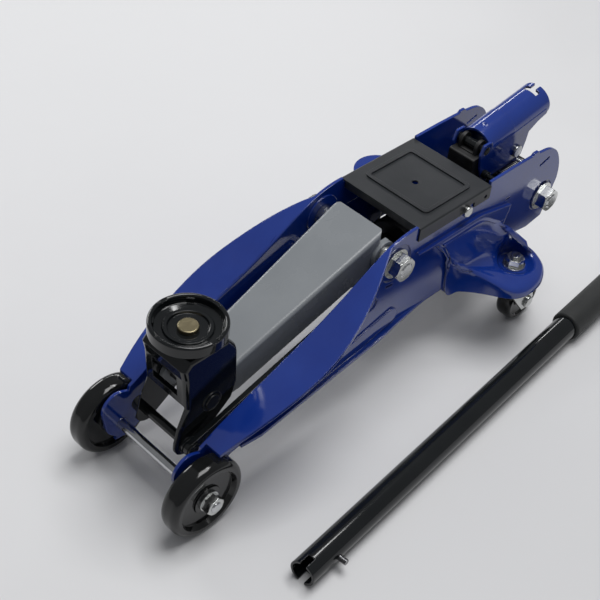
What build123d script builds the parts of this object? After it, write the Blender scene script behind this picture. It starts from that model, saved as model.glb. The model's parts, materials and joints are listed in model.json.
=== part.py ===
from build123d import *
import math
import os

# Low trolley jack. X runs from the front rollers to the handle socket, Y across, Z up.
# The origin is on the floor, under the front axle, on the centre plane. Millimetres.

# Side plates
sheet = 2.5
plate_outer = 38.2
plate_inner = plate_outer - sheet
pad_push = 3.0
lip_reach = 5.0
rib_height = 1.4
ear_x, ear_radius, ear_top = 256.0, 20.5, 131.0
# Front rollers
roller_radius = 31.1
roller_inner = 41.0
roller_outer = 57.1
roller_web = 53.4
axle_radius = 4.0
axle_height = roller_radius
m8_flats = 13.0
m8_nut = 6.5
m8_washer = 1.6
m8_washer_radius = 8.0
# Main pivot
pivot_x, pivot_z = 190.0, 124.0
pivot_radius = 6.0
sleeve_radius = 8.75
pivot_press = 1.0
press_radius = 15.5
m12_flats = 18.0
m12_nut = 8.8
m12_washer = 1.5
m12_washer_radius = 12.0
# Saddle hinge and link
hinge_x, hinge_z = 31.0, 79.0
hinge_radius = 5.0
drop_x, drop_z = 21.0, 28.0
link_radius = 3.5
link_inner, link_outer = 24.3, 28.3
stud_radius = 4.0
stud_tip = plate_inner + 0.8
anchor_x, anchor_z = pivot_x - drop_x, pivot_z - drop_z
# Lift arm
arm_slope = math.degrees(math.atan(0.3645))
arm_narrow, arm_wide = 18.2, 23.9
arm_sheet = 3.2
arm_end, corner_round, corner_low = 192.0, 9.0, 134.0
# Saddle
bracket_half = 21.6
bracket_sheet = 3.0
bracket_round = 4.0
bracket_top = 127.6
saddle_x, saddle_radius, saddle_rim = 27.4, 27.0, 140.0
# Ram
ram_pin_x, ram_pin_z, ram_pin_radius = 215.0, 81.0, 6.0
ram_z, ram_radius = 79.0, 9.0
cylinder_radius = 15.0
tank_radius, tank_wall = 30.5, 2.5
plug_x = 268.0
# Base casting
block_back, block_half = 388.0, 22.0
block_roof = 117.0
rear_x, rear_z = 372.0, 98.0
valve_y, valve_z, valve_radius = 12.0, 84.0, 4.0
# Handle socket
socket_x, socket_z = 316.0, 152.0
socket_slope = 9.5
tube_radius, tube_bore = 14.0, 12.0
cheek_inner, cheek_outer = 12.4, 14.4
lug_half, neck_half = 12.0, 8.8
roller_pin_x, roller_pin_z, roller_pin_radius = 358.0, 134.6, 4.0
plunger_x, plunger_radius = 358.5, 5.0
spring_y, spring_radius = 26.5, 5.2
hook_x, hook_z, hook_radius = 317.5, 130.8, 2.0
anchor_spring_x, anchor_spring_z, anchor_radius = 349.0, 134.0, 2.2
# Cover
cover_front, cover_back = 210.6, 292.5
cover_top, cover_sheet, cover_skirt = 145.4, 1.2, 11.4
# Casters
stem_x, stem_y = 323.0, 57.5
wheel_radius, wheel_half, trail = 20.0, 7.5, 19.0
wing_sheet = 2.8
# Handle
handle_radius, handle_wall, handle_length = 10.0, 1.8, 450.0
grip_radius, grip_start = 12.5, 332.0
# Clearances
running = 0.05
seat = 0.05

os.makedirs("parts", exist_ok=True)


def save(name, shape):
    export_step(shape, "parts/" + name + ".step")
    print(name, round(shape.volume))


def across(radius, x, z, low, high):
    return Pos(x, (low + high) / 2, z) * Rot(90, 0, 0) * Cylinder(radius, high - low)


def upright(radius, x, y, low, high):
    return Pos(x, y, (low + high) / 2) * Cylinder(radius, high - low)


def along(radius, y, z, low, high):
    return Pos((low + high) / 2, y, z) * Rot(0, 90, 0) * Cylinder(radius, high - low)


def block(x_low, x_high, y_low, y_high, z_low, z_high):
    middle = Pos((x_low + x_high) / 2, (y_low + y_high) / 2, (z_low + z_high) / 2)
    return middle * Box(x_high - x_low, y_high - y_low, z_high - z_low)


def side_face(*curves):
    edges = []
    for curve in curves:
        edges.extend(curve.edges())
    return Face(Wire(edges))


def side_slab(face, low, high):
    # The face is drawn with X across and Z up, and is made solid between two Y planes.
    turned = Plane.XZ.offset(-high) * face
    return extrude(turned, high - low, dir=(0, -1, 0))


def plan_slab(face, low, high):
    return extrude(Plane.XY.offset(low) * face, high - low, dir=(0, 0, 1))


def rounded(points, radius):
    face = Polygon(*points, align=None)
    return fillet(face.vertices(), radius)


def both(shape):
    return group(shape, mirror(shape, Plane.XZ))


def group(*shapes):
    solids = []
    for shape in shapes:
        solids.extend(shape.solids())
    return Compound(solids)


def hexagon(flats, x, z, low, high, bore, turn=0.0):
    # Nut on a Y axis, with its outer corners eased.
    face = RegularPolygon(flats / 2, 6, major_radius=False, rotation=turn)
    nut = side_slab(Pos(x, z) * face, low, high)
    envelope = across(flats * 0.577, x, z, low, high)
    envelope = chamfer(envelope.edges().sort_by(Axis.Y)[-1], flats * 0.06)
    return nut & envelope - across(bore, x, z, low - 1, high + 1)


def ring(outer, inner, x, z, low, high):
    return across(outer, x, z, low, high) - across(inner, x, z, low - 1, high + 1)


# ---- Side plates -------------------------------------------------------------------
# The upper edge climbs from the roller notch to the cover and is flanged outwards along it.
crown = Spline((8, 62), (23, 70.6), (84, 96.5), (139, 121.5), (184, 143), (206, 146.5),
               tangents=((1, 0.6), (1, 0.03)))
nose = Spline((4, 60), (-6, 62), (-15.4, 53), (-14, 38), (-10.4, 26), (-4.4, 18.6), (4, 16),
              tangents=((-1, 0.5), (1, -0.1)))
chin = Polyline((4, 16), (13, 19), (36, 36.5))
belly = Polyline((36, 36.5), (156, 54), (200, 60), (232, 61.5), (262, 61.5))
hip = Polyline((262, 61.5), (322, 73), (345, 73), (362, 70), (381, 73), (391, 106))
shoulder = Spline((391, 106), (386, 129), (363, 146), tangents=((0.05, 1), (-1, 0.12)))
ridge = Polyline((363, 146), (354, 147), (352, 149.5), (347, 149.5), (345, 147.6), (321, 148),
                 (206, 146.5))
notch = Polyline((8, 62), (7, 58.5), (4, 60))
wall_face = side_face(crown, notch, nose, chin, belly, hip, shoulder, ridge)
wall = side_slab(wall_face, plate_inner, plate_outer)

# Flange: a band under the crown, trimmed in plan to a lens.
band_top = Spline((8, 62), (23, 70.6), (84, 96.5), (139, 121.5), (184, 143), (206, 146.5),
                  tangents=((1, 0.6), (1, 0.03)))
band = side_face(band_top, Line((206, 146.5), (206, 143.7)), Pos(0, -2.8) * band_top,
                 Line((8, 59.2), (8, 62)))
lens = side_face(Polyline((12, plate_inner), (12, 51.8)),
                 Spline((12, 51.8), (30, 57.1), (75, 65.4), (98, 66.2), (128, 61.3), (150, 53.8),
                        (170.5, 44.2), (182, plate_outer)),
                 Polyline((182, plate_outer), (182, plate_inner), (12, plate_inner)))
flange = side_slab(band, plate_inner, 68) & plan_slab(lens, 40, 160)

# Lip along the belly, turned outwards and dying away before the caster wing.
lip_face = Polygon((42, 37.4), (156, 54), (200, 60), (238, 61.5), (238, 64), (199.6, 62.6), (155.6, 56.6),
                   (41.6, 40), align=None)
lip_plan = side_face(Polyline((44, plate_inner), (44, plate_outer + 2), (60, plate_outer + lip_reach)),
                     Spline((60, plate_outer + lip_reach), (190, plate_outer + lip_reach - 0.6),
                            (236, plate_outer), tangents=((1, 0), (1, -0.06))),
                     Polyline((236, plate_outer), (236, plate_inner), (44, plate_inner)))
lip = side_slab(lip_face, plate_inner, plate_outer + lip_reach) & plan_slab(lip_plan, 30, 70)

# Pushed-out pad below the cover and the sheet that runs on from it into the caster wing.
pad_face = Polygon((212, 122), (284, 122), (325, 113), (320, 96), (320, 80), (258, 80),
                   (258, 92), (234, 119), align=None)
pad_back = Polygon((216, 119.6), (284, 119.6), (322, 111), (317.4, 96), (317.4, 79), (260.6, 79),
                   (260.6, 93), (238, 118.4), align=None)
pad = side_slab(pad_face, plate_outer - 0.5, plate_outer + pad_push)
pad_hollow = side_slab(pad_back, plate_inner - 1, plate_outer + pad_push - sheet)

bend_start = 92.0
wing_in = plate_outer + pad_push
wing_base = 57.0
tip = 90.0
rim_round = 4.0
wing_plan = side_face(
    Polyline((321, plate_inner), (321, wing_in), (338, 46), (348, 57)),
    Spline((348, 57), (341, 73), (326, 82.5), (311, 84), (296, 79), (288, 70),
           tangents=((0.1, 1), (-0.35, -1))),
    Polyline((288, 70), (275, 49), (260, wing_in), (260, plate_inner), (321, plate_inner)))
wing_plan_in = side_face(
    Polyline((352, plate_inner - 2), (352, 57)),
    Line((352, 57), (345.2, 58)),
    Spline((345.2, 58), (338.8, 71.2), (325, 79.8), (311.4, 81.2), (297.8, 76.6), (290.6, 69),
           tangents=((0.1, 1), (-0.35, -1))),
    Polyline((290.6, 69), (277.6, 48), (263, wing_in), (263, plate_inner - 2),
             (352, plate_inner - 2)))


def wing_section(x, steps, drop, base):
    # Upper surface in the YZ plane: down the pad, round the bend, then out to the tip.
    # Each step is how far out from the pad, how far below the bend and which way the sheet faces.
    points = []
    for out, down, lean in steps:
        facing = math.radians(lean)
        points.append((wing_in + out - drop * math.cos(facing),
                       bend_start - down - drop * math.sin(facing)))
    curve = Spline(*points)
    under = Polyline(points[-1], (tip, base), (plate_inner - 2, base), (plate_inner - 2, points[0][1]),
                     points[0])
    return Plane.YZ.offset(x) * side_face(curve, under)


def wing_form(drop, base):
    front = wing_section(256, [(0, 0, 0), (5, 12, 30), (12, 17, 70), (21, 19.5, 80),
                               (tip - wing_in, 30, 80)], drop, base)
    middle = wing_section(300, [(0, 0, 0), (3.4, 16, 20), (8.5, 23, 60), (18, 25.5, 85),
                                (tip - wing_in, 30, 85)], drop, base)
    back = wing_section(356, [(0, 0, 0), (3, 19, 15), (8, 26, 60), (17, 27.8, 88),
                              (tip - wing_in, 29.5, 88)], drop, base)
    return loft([front, middle, back])


def dish(drop):
    # Conical seat pressed round the caster stem.
    low, high = dish_floor - drop, dish_floor + 20
    face = Polygon((0, low), (dish_radius + drop, low), (dish_radius + drop + 20, high), (0, high),
                   align=None)
    return Pos(stem_x, stem_y, 0) * revolve(Plane.XZ * face, Axis.Z)


dish_floor, dish_radius = 63.2, 10.5
wing_outer = wing_form(0, wing_base) & plan_slab(wing_plan, wing_base, 120)
rim = wing_outer.edges().filter_by(lambda e: e.center().Y > 43 and e.center().Z > 60 and e.length > 8)
rim = rim.filter_by(lambda e: abs((e @ 0).Z - (e @ 1).Z) < 14)
wing_outer = fillet(rim, rim_round)
wing_cavity = wing_form(wing_sheet, wing_base - 2) & plan_slab(wing_plan_in, wing_base - 2, 120)
wing = wing_outer - dish(0) - (wing_cavity - dish(wing_sheet))
wing = wing - upright(4.1, stem_x, stem_y, 40, 100)
open_wall = block(263, 318, plate_inner - 3, plate_outer + 0.6, 58, bend_start)

plate = wall + flange + lip - open_wall
plate = plate + pad - pad_hollow + wing
rib_place = Pos(151, 62) * Rot(0, 0, 13.2)
rib = rib_place * SlotCenterToCenter(86, 14)
rib_back = rib_place * SlotCenterToCenter(86, 10.4)
plate = plate + side_slab(rib, plate_outer - 0.2, plate_outer + rib_height)
plate = plate - side_slab(rib_back, plate_inner - 1, plate_inner + rib_height)
# Ring pressed round the cross bolt, blind recess over the link stud, small slots.
plate = plate - ring(13.5, 11.0, rear_x, rear_z, plate_outer - 0.8, plate_outer + 1)
plate = plate - across(6.0, anchor_x, anchor_z, plate_outer - 0.9, plate_outer + 1)
plate = plate - side_slab(Pos(186, 105) * Rot(0, 0, -8) * SlotOverall(8, 2), 30, 50)
plate = plate - side_slab(Pos(364.5, 134.5) * Rot(0, 0, 15) * SlotOverall(13, 2.6), 30, 50)
plate = plate - side_slab(Pos(322.5, 118) * SlotOverall(6, 1.8), 30, 50)
# The upper edge is lowered where the cover lies on it.
seat_height = cover_top - cover_sheet - seat
plate = plate - block(cover_front - 0.6, cover_back + 0.6, 30, 50, seat_height, 160)
plate = plate - across(2.5 + seat, 264, 136, 30, 50)
plate = plate - across(axle_radius + seat, 0, axle_height, 30, 50)
plate = plate + across(press_radius, pivot_x, pivot_z, plate_inner - pivot_press, plate_inner + 0.2)
plate = plate - across(press_radius, pivot_x, pivot_z, plate_outer - pivot_press, plate_outer + 1)
plate = plate - across(pivot_radius + seat, pivot_x, pivot_z, 30, 50)
plate = plate - across(pivot_radius + seat, rear_x, rear_z, 30, 50)
plate = plate - across(stud_radius - 0.5, anchor_x, anchor_z, 30, stud_tip + seat)
# The right plate alone has a half-round ear turned outwards; the left takes the spring anchor.
ear = plan_slab(Pos(ear_x, plate_outer) * Circle(ear_radius), ear_top - sheet, ear_top)
ear = ear & block(ear_x - 30, ear_x + 30, plate_outer - 0.5, plate_outer + 30, 100, 140)
right = plate + ear
left = plate - across(anchor_radius - 0.5, anchor_spring_x, anchor_spring_z, 30, plate_inner + 1.0)
save("side_plate_right", right)
save("side_plate_left", mirror(left, Plane.XZ))

# ---- Front axle and rollers --------------------------------------------------------
axle_end = roller_web + 1.6 + m8_washer + m8_nut + 1.0
axle = across(axle_radius, 0, axle_height, -axle_end, axle_end)
axle = chamfer(axle.edges().filter_by(GeomType.CIRCLE), 0.7)
save("front_axle", axle)

tread = Spline((roller_inner, 27.4), (roller_inner + 1.3, 29.9), (roller_inner + 4, roller_radius - 0.1),
               (49, roller_radius), (roller_outer - 4, roller_radius - 0.1),
               (roller_outer - 1.3, 29.6), (roller_outer, 27.0))
roller_face = side_face(
    tread,
    Polyline((roller_outer, 27.0), (roller_outer, 24.6), (roller_web, 22.8), (roller_web, 11.5),
             (roller_web + 1.5, 11.0), (roller_web + 1.5, axle_radius + running),
             (roller_inner, axle_radius + running), (roller_inner, 11.5), (roller_inner + 3, 12.2),
             (roller_inner + 3, 23.0), (roller_inner, 24.5), (roller_inner, 27.4)))
roller = revolve(Plane.YZ * roller_face, Axis.Y)
roller = Pos(0, 0, axle_height) * roller
save("front_wheel_right", roller)
save("front_wheel_left", mirror(roller, Plane.XZ))

spacer = ring(m8_washer_radius, axle_radius + seat, 0, axle_height, plate_outer + seat,
              roller_inner - 0.1)
hub_face = roller_web + 1.6
outer_washer = ring(m8_washer_radius, axle_radius + seat, 0, axle_height, hub_face,
                    hub_face + m8_washer)
save("axle_washers", both(group(spacer, outer_washer)))
axle_nut = hexagon(m8_flats, 0, axle_height, hub_face + m8_washer + seat,
                   hub_face + m8_washer + seat + m8_nut, axle_radius + seat, 12)
save("axle_nuts", both(axle_nut))

# ---- Main pivot --------------------------------------------------------------------
shaft_end = plate_outer - pivot_press + m12_washer + m12_nut + 1.0
shaft = across(pivot_radius, pivot_x, pivot_z, -shaft_end, shaft_end)
shaft = chamfer(shaft.edges().filter_by(GeomType.CIRCLE), 1.0)
save("pivot_shaft", shaft)


def washer_set(x, z, face):
    return both(ring(m12_washer_radius, pivot_radius + seat, x, z, face + seat,
                     face + seat + m12_washer))


def nut_set(x, z, face, turn):
    base = face + m12_washer + 2 * seat
    return both(hexagon(m12_flats, x, z, base, base + m12_nut, pivot_radius + seat, turn))


pivot_face = plate_outer - pivot_press
save("pivot_washers", washer_set(pivot_x, pivot_z, pivot_face))
save("pivot_nuts", nut_set(pivot_x, pivot_z, pivot_face, 10))

# ---- Lift arm ----------------------------------------------------------------------
def roof(x):
    return 96.6 + math.tan(math.radians(arm_slope)) * (x - 60)


arm_side = Polygon((46, roof(46) + 1), (190, roof(190) + 1), (199, 128),
                   (213, 94), (224.5, 86), (226, 79), (222, 72.5), (214, 70), (206, 72),
                   (176, 103), (162, 106), (60, 69), (44, 71), (40, 79), align=None)
arm_side = fillet(arm_side.vertices().sort_by(Axis.X)[-5:], 3.0)
plan_inner = Polygon((6, arm_sheet - arm_narrow), (62, arm_sheet - arm_narrow),
                     (190, arm_sheet - arm_wide), (246, arm_sheet - arm_wide),
                     (246, arm_wide - arm_sheet), (190, arm_wide - arm_sheet),
                     (62, arm_narrow - arm_sheet), (6, arm_narrow - arm_sheet), align=None)
lobe = across(12.0, hinge_x, hinge_z, -arm_narrow, arm_narrow)
neck = side_slab(Polygon((30, 67), (30, 91), (48, roof(48)), (62, 80), (62, 69.6), align=None),
                 -arm_narrow, arm_narrow)


def arm_section(x, half):
    # Rounded-top section standing across the arm, so that its sheet edges are bent, not sharp.
    face = Polygon((-half, 40), (half, 40), (half, roof(x)), (-half, roof(x)), align=None)
    face = fillet(face.vertices().sort_by(Axis.Y)[-2:], 3.0)
    return Plane.YZ.offset(x) * face


arm = loft([arm_section(12, arm_narrow), arm_section(62, arm_narrow)], ruled=True)
arm = arm + loft([arm_section(62, arm_narrow), arm_section(190, arm_wide)], ruled=True)
arm = arm + loft([arm_section(190, arm_wide), arm_section(240, arm_wide)], ruled=True)
arm = arm & side_slab(arm_side, -30, 30)
arm = arm + lobe + neck
drop = arm_sheet / math.cos(math.radians(arm_slope))
hollow_side = Polygon((50, roof(50) - drop), (240, roof(240) - drop), (240, 50), (0, 50),
                      (0, 110), (50, 110), align=None)
arm = arm - (side_slab(hollow_side, -30, 30) & plan_slab(plan_inner, 40, 220))
arm = arm - across(hinge_radius + running, hinge_x, hinge_z, -40, 40)
arm = arm - across(sleeve_radius + seat, pivot_x, pivot_z, -40, 40)
arm = arm - across(ram_pin_radius + seat, ram_pin_x, ram_pin_z, -40, 40)
# The upper rear corners of the arm are rounded, and a collar stands round the sleeve each side.
corner = block(arm_end - corner_round, arm_end + 10, arm_wide - corner_round, arm_wide + 3, corner_low, 160)
corner = corner - upright(corner_round, arm_end - corner_round, arm_wide - corner_round, 120, 165)
arm = arm - corner - mirror(corner, Plane.XZ)
collar = ring(sleeve_radius + 2.3, sleeve_radius + seat, pivot_x, pivot_z, arm_wide - 0.5, arm_wide + 2.5)
arm = arm + collar + mirror(collar, Plane.XZ)
save("lift_arm", arm)

sleeve_end = plate_inner - pivot_press - 0.25
save("arm_pivot_tube", ring(sleeve_radius, pivot_radius + running, pivot_x, pivot_z, -sleeve_end,
                            sleeve_end))
ram_pin_end = arm_wide + 2.6
ram_pin = across(ram_pin_radius, ram_pin_x, ram_pin_z, -ram_pin_end, ram_pin_end)
groove = ring(ram_pin_radius + 1, ram_pin_radius - 1, ram_pin_x, ram_pin_z, arm_wide + 0.3,
              arm_wide + 1.5)
ram_pin = ram_pin - groove - mirror(groove, Plane.XZ)
save("ram_pin", ram_pin)
clip = ring(ram_pin_radius + 2.0, ram_pin_radius - 1 + seat, ram_pin_x, ram_pin_z,
            arm_wide + 0.35, arm_wide + 1.45)
clip = clip - block(ram_pin_x - 3, ram_pin_x + 3, 0, 40, ram_pin_z - 12, ram_pin_z)
save("ram_pin_clips", both(clip))

# ---- Saddle bracket ----------------------------------------------------------------
link_x, link_z = hinge_x - drop_x, hinge_z - drop_z
cheek_face = side_face(
    Polyline((5, 121), (7, 112), (9, 84), (3, 69), (0.5, 58)),
    Spline((0.5, 58), (2.5, 45.5), (9, 42.6), (18, 47), tangents=((-0.1, -1), (1, 0.6))),
    Polyline((18, 47), (34, 58), (49, 71), (53, 84), (51, 119.5), (45, bracket_top),
             (11, bracket_top), (5, 121)))
bracket = side_slab(cheek_face, -bracket_half, bracket_half)
crown_edges = bracket.edges().filter_by(lambda e: abs(e.center().Y) > bracket_half - 0.01)
crown_edges = crown_edges.filter_by(lambda e: e.center().Z > 119 or (e.center().X < 11 and e.center().Z > 60))
bracket = fillet(crown_edges, bracket_round)
inside = bracket_half - bracket_sheet
inner_face = Polygon((9.6, 110), (12.2, 90), (12.2, 86), (-4, 86), (-4, 30), (80, 30), (80, 118),
                     (50, 124.4), (14, 124.4), (9.0, 120), align=None)
bracket = bracket - side_slab(inner_face, -inside, inside)
bracket = bracket - block(-4, 20, -12, 12, 92, 110)
boss = across(6.5, link_x, link_z, bracket_half - 0.2, bracket_half + 2.4)
pad_ring = ring(8.0, 6.4, hinge_x, hinge_z, bracket_half - 0.2, bracket_half + 0.8)
bracket = bracket + boss + mirror(boss, Plane.XZ) + pad_ring + mirror(pad_ring, Plane.XZ)
bracket = bracket - across(link_radius + seat, link_x, link_z, -40, 40)
bracket = bracket - across(hinge_radius + seat, hinge_x, hinge_z, -40, 40)
bracket = bracket - upright(5.05, saddle_x, 0, 100, 140)
save("saddle_bracket", bracket)

pin_head = bracket_half + 0.05
saddle_pin = across(hinge_radius, hinge_x, hinge_z, -pin_head, pin_head)
head = across(5.9, hinge_x, hinge_z, pin_head, pin_head + 1.8)
head = fillet(head.edges().sort_by(Axis.Y)[-1], 0.8)
save("saddle_pin", saddle_pin + head + mirror(head, Plane.XZ))
link_pin_end = link_outer + 1.9
link_pin = across(link_radius, link_x, link_z, -link_pin_end, link_pin_end)
save("link_pin", link_pin)
link_cap = ring(5.6, link_radius + seat, link_x, link_z, link_outer + 0.15, link_outer + 1.6)
save("link_pin_caps", both(link_cap))

# ---- Link rods that keep the saddle level ------------------------------------------
span_x, span_z = anchor_x - link_x, anchor_z - link_z
rod_length = math.hypot(span_x, span_z)
rod_angle = math.degrees(math.atan2(span_z, span_x))
rod_middle = Pos((anchor_x + link_x) / 2, (anchor_z + link_z) / 2) * Rot(0, 0, rod_angle)
rod_face = rod_middle * SlotCenterToCenter(rod_length, 12)
rod = side_slab(rod_face, link_inner, link_outer)
rod = rod - across(link_radius + running, link_x, link_z, 20, 40)
rod = rod - across(stud_radius + running, anchor_x, anchor_z, 20, 40)
save("link_rod_right", rod)
save("link_rod_left", mirror(rod, Plane.XZ))
stud = across(stud_radius, anchor_x, anchor_z, link_inner, plate_inner - 0.02)
stud_neck = across(stud_radius - 0.6, anchor_x, anchor_z, plate_inner - 0.5, stud_tip)
collar = across(6.5, anchor_x, anchor_z, link_outer + 0.15, plate_inner - 0.02)
save("link_studs", both(stud + stud_neck + collar))

# ---- Saddle ------------------------------------------------------------------------
saddle_face = side_face(
    Polyline((5.1, 128.0), (14, 128.0), (15, 129.2), (24.5, 129.2), (saddle_radius, 131.4),
             (saddle_radius, saddle_rim - 1.4)),
    ThreePointArc((saddle_radius, saddle_rim - 1.4), (saddle_radius - 1.7, saddle_rim),
                  (saddle_radius - 3.4, saddle_rim - 1.4)),
    Polyline((saddle_radius - 3.4, saddle_rim - 1.4), (22.8, 134.4), (17.4, 133.4), (16.6, 134.8),
             (14.2, 134.8), (13.4, 133.2), (8.0, 132.6), (5.1, 132.6), (5.1, 128.0)))
saddle = revolve(Plane.XZ * saddle_face, Axis.Z)
saddle = Pos(saddle_x, 0, 0) * saddle
for step in range(4):
    turn = Rot(0, 0, 45 + 90 * step)
    lug = Pos(saddle_x, 0, 0) * turn * block(22.4, 24.4, -2.6, 2.6, 133.5, saddle_rim - 1.9)
    nick = Pos(saddle_x, 0, 0) * Rot(0, 0, 90 * step) * block(22, 30, -2.6, 2.6, saddle_rim - 0.8, 145)
    saddle = saddle + lug - nick
save("saddle_cup", saddle)
screw = upright(5.0, saddle_x, 0, 115.5, 132.7)
screw_head = upright(7.3, saddle_x, 0, 132.7, 135.6)
screw_head = fillet(screw_head.edges().sort_by(Axis.Z)[-1], 0.9)
save("saddle_screw", screw + screw_head)
nut_face = RegularPolygon(8, 6, major_radius=False)
saddle_nut = plan_slab(Pos(saddle_x, 0) * nut_face, 118.0, 124.3)
saddle_nut = saddle_nut - upright(5.05, saddle_x, 0, 110, 130)
save("saddle_nut", saddle_nut)

# ---- Cover plate -------------------------------------------------------------------
cover_inner = plate_outer + seat
cover_half = cover_inner + cover_sheet
shell = block(cover_front, cover_back, -cover_half, cover_half, cover_top - cover_skirt, cover_top)
shell = fillet(shell.edges().filter_by(Axis.X).filter_by(lambda e: e.center().Z > cover_top - 1),
               1.4)
void = block(cover_front - 1, cover_back + 1, -cover_inner, cover_inner, 100,
             cover_top - cover_sheet)
cover = shell - void
for end in (cover_front, cover_back - cover_sheet):
    cover = cover + block(end, end + cover_sheet, 1.5 - plate_inner, plate_inner - 1.5,
                          cover_top - 6.5, cover_top - 0.5)
ridge_outer = plan_slab(Pos(253, 0) * RectangleRounded(53, 61, 4.5), cover_top - 0.3, cover_top + 1.2)
ridge_inner = plan_slab(Pos(253, 0) * RectangleRounded(46.6, 54.6, 2.5), cover_top - 1, cover_top + 2)
cover = cover + (ridge_outer - ridge_inner)
cover = cover - upright(2.5, 250, 0, 130, 150)
cover = cover - across(2.5 + seat, 264, 136, -60, 60)
cover = cover - across(1.6, 287, 138, -60, 60)
for side in (-1, 1):
    cut = block(268.5, 274, 38, 45, 120, 139)
    cover = cover - (cut if side > 0 else mirror(cut, Plane.XZ))
save("cover_plate", cover)
cover_bolt = across(2.5, 264, 136, plate_inner - 4, cover_half + 0.4)
cover_head = across(4.5, 264, 136, cover_half + 0.1, cover_half + 3.4)
cover_head = fillet(cover_head.edges().sort_by(Axis.Y)[-1], 1.0)
save("cover_screws", both(cover_bolt + cover_head))
save("cover_nuts", both(hexagon(8.0, 264, 136, plate_inner - 3.3, plate_inner - seat, 2.5 + seat)))

# ---- Power unit --------------------------------------------------------------------
cylinder_bore = 12.0
head_low, head_high = ram_pin_x - 11, ram_pin_x + 10.5
gland_front = head_high + 2.5
gland_step = gland_front + 5
cap_front, cap_back = gland_front + 10, gland_front + 18
body_face = Polygon((340, 58), (346, 54), (380, 54), (block_back, 62), (block_back, 106),
                    (378, block_roof), (340, block_roof), align=None)
body_face = fillet(body_face.vertices(), 3.0)
casting = side_slab(body_face, -block_half, block_half)
lug_base = ram_z + tank_radius + 0.4
lug_face = rounded([(304, lug_base), (304, 147), (313, 147), (320, 139), (332, 136), (350, 116),
                    (350, lug_base)], 1.5)
casting = casting + side_slab(lug_face, -lug_half, lug_half)
neck_face = Polygon((309.8, 152), (322.2, 152), (326, 137), (309.8, 137), align=None)
casting = casting + side_slab(neck_face, -neck_half, neck_half)
casting = casting + across(6.2, socket_x, socket_z, -neck_half, neck_half)
casting = casting - block(300, 330, -6, 6, 148, 170)
casting = casting + along(tank_radius, 0, ram_z, 340, 345)
casting = casting + along(tank_radius - tank_wall - 0.1, 0, ram_z, 330, 341)
casting = casting - along(cylinder_bore, 0, ram_z, 320, 344)
casting = casting - along(cylinder_radius + seat, 0, ram_z, 320, 341)
casting = casting - upright(plunger_radius + running, plunger_x, 0, 66, 130)
casting = casting - across(pivot_radius + seat, rear_x, rear_z, -40, 40)
casting = casting - across(3.5 + seat, socket_x, socket_z, -40, 40)
casting = casting - along(valve_radius + running, valve_y, valve_z, block_back - 18, block_back + 5)
pump_seat = upright(9.0, plunger_x, 0, block_roof - 1, block_roof + 3)
pump_seat = pump_seat - upright(plunger_radius + running, plunger_x, 0, 60, 130)
casting = casting + pump_seat
save("base_block", casting)


def tube(outer, inner, low, high):
    return along(outer, 0, ram_z, low, high) - along(inner, 0, ram_z, low - 1, high + 1)


tank = tube(tank_radius, tank_radius - tank_wall, cap_back, 340 - seat)
tank = tank - upright(5.0, plug_x, 0, 95, 120)
save("reservoir_tube", tank)
cap = tube(tank_radius, cylinder_radius + seat, cap_front, cap_back - seat)
cap = cap + tube(tank_radius - tank_wall - seat, cylinder_radius + seat, cap_back - 1, cap_back + 4)
cap = chamfer(cap.edges().filter_by(GeomType.CIRCLE).sort_by(Axis.X)[:2], 1.0)
save("tank_cap", cap)
save("ram_cylinder", tube(cylinder_radius, cylinder_bore, gland_step, 341 - seat))
gland = Plane.YZ.offset(gland_front) * Pos(0, ram_z) * RegularPolygon(18, 6, major_radius=False)
gland = extrude(gland, cap_front - seat - gland_front, dir=(1, 0, 0))
gland = gland - along(cylinder_radius + seat, 0, ram_z, gland_step - seat, 250)
gland = gland - along(ram_radius + running, 0, ram_z, 220, 250)
save("gland_nut", gland)

rod = along(ram_radius, 0, ram_z, head_high - 3, 334)
rod = rod + block(head_low, head_high, -11.5, 11.5, 62.5, 97.5)
rod = fillet(rod.edges().filter_by(Axis.Y).filter_by(lambda e: e.center().X < 210), 4.0)
slot = Pos(ram_pin_x, ram_z) * Rot(0, 0, 90) * SlotOverall(27, 2 * ram_pin_radius + 2.4)
rod = rod - side_slab(slot, -20, 20)
save("ram_rod", rod)
save("ram_piston", tube(cylinder_bore - running, ram_radius + seat, 320, 334))
plug_base = ram_z + tank_radius + 0.4
plug = upright(5.0 - seat, plug_x, 0, plug_base - 2.8, plug_base)
save("filler_plug", plug + upright(7.0, plug_x, 0, plug_base, plug_base + 3))

# The roller pin swings on an arc about the socket pivot, so the plunger head is slotted for it.
pin_arm = math.hypot(roller_pin_x - socket_x, roller_pin_z - socket_z)
pin_swing = socket_x + pin_arm - roller_pin_x
head_middle = roller_pin_x + pin_swing / 2
plunger = upright(plunger_radius, plunger_x, 0, 68, 128)
plunger = plunger + block(head_middle - 9.4, head_middle + 9.4, -6, 6, 127, roller_pin_z + 6.2)
plunger = fillet(plunger.edges().filter_by(Axis.Y), 1.5)
slide = Pos(head_middle, roller_pin_z) * SlotOverall(pin_swing + 2 * roller_pin_radius + 0.6,
                                                     2 * roller_pin_radius + 0.6)
plunger = plunger - side_slab(slide, -10, 10)
save("pump_plunger", plunger)
valve = along(valve_radius, valve_y, valve_z, block_back - 16, block_back + 4)
valve = valve + along(6.5, valve_y, valve_z, block_back + 0.4, block_back + 9)
valve = valve + across(2.2, block_back + 5.6, valve_z, valve_y - 9, valve_y + 9)
save("release_valve", valve)

# ---- Rear cross bolt ---------------------------------------------------------------
rear_end = plate_outer + m12_washer + m12_nut + 1.2
rear = across(pivot_radius, rear_x, rear_z, -rear_end, rear_end)
save("rear_bolt", chamfer(rear.edges().filter_by(GeomType.CIRCLE), 1.0))
save("rear_washers", washer_set(rear_x, rear_z, plate_outer))
save("rear_nuts", nut_set(rear_x, rear_z, plate_outer, 20))
save("rear_spacers", both(ring(9.0, pivot_radius + seat, rear_x, rear_z, block_half + seat,
                               plate_inner - seat)))

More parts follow.
